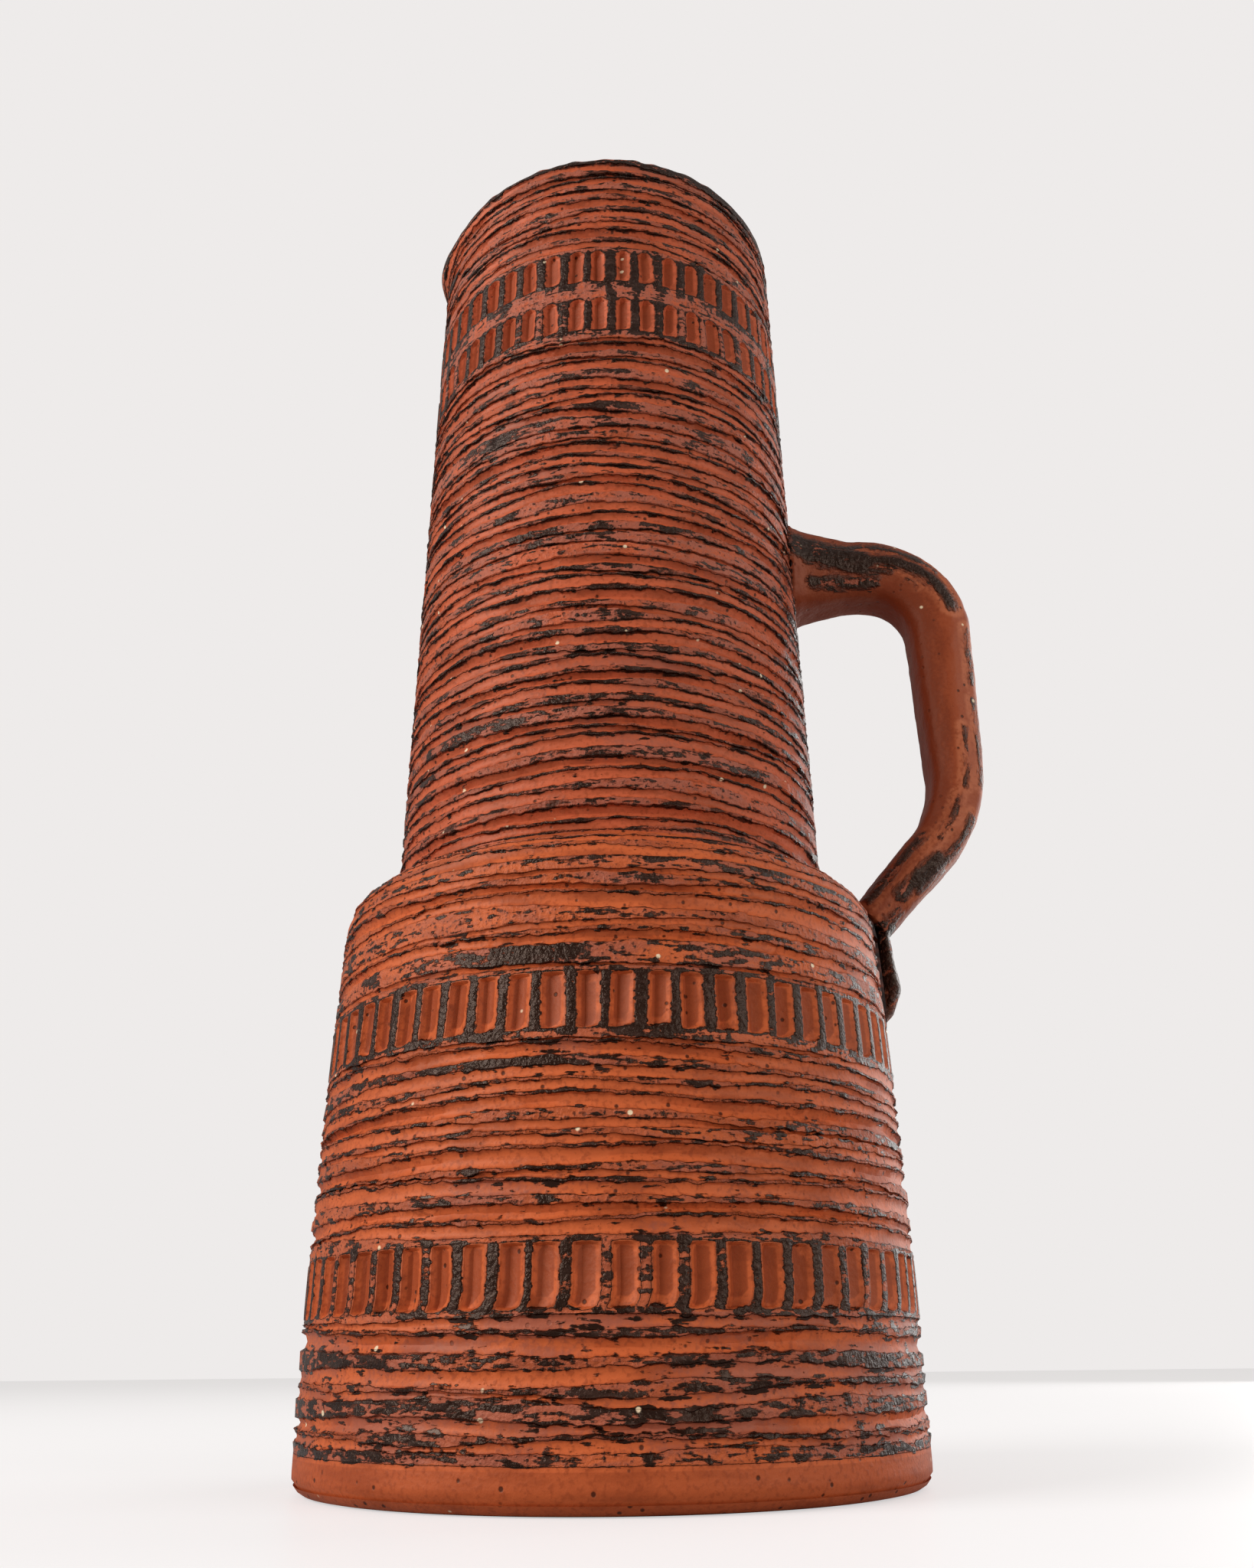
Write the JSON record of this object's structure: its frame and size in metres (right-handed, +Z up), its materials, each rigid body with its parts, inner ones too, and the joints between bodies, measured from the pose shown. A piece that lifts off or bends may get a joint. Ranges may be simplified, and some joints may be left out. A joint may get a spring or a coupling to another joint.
{
  "type": "vase",
  "caption": "Tall thrown stoneware vase with a straight body, rounded shoulder, long neck, small pouring lip, strap handle and stamped flute bands.",
  "frame": {"origin": "middle of the flat underside, on the surface that the vase stands on", "axes": "+Z up along the axis of the neck, +X towards the handle, the pouring lip at -X"},
  "size_m": [0.1855, 0.1494, 0.375],
  "materials": {
    "red_clay": "matt fired red clay, combed, with black slip on its crests",
    "neck_clay": "matt fired red clay, finely combed, with black slip on its crests",
    "handle_clay": "smooth fired red clay with patches of black slip",
    "luting_slip": "satin black slip"
  },
  "bodies": {
    "root": {"lower_body": "red_clay", "neck": "neck_clay", "shoulder_seam": "luting_slip", "handle": "handle_clay", "upper_handle_seam": "luting_slip", "lower_handle_seam": "luting_slip"}
  },
  "joints": []
}
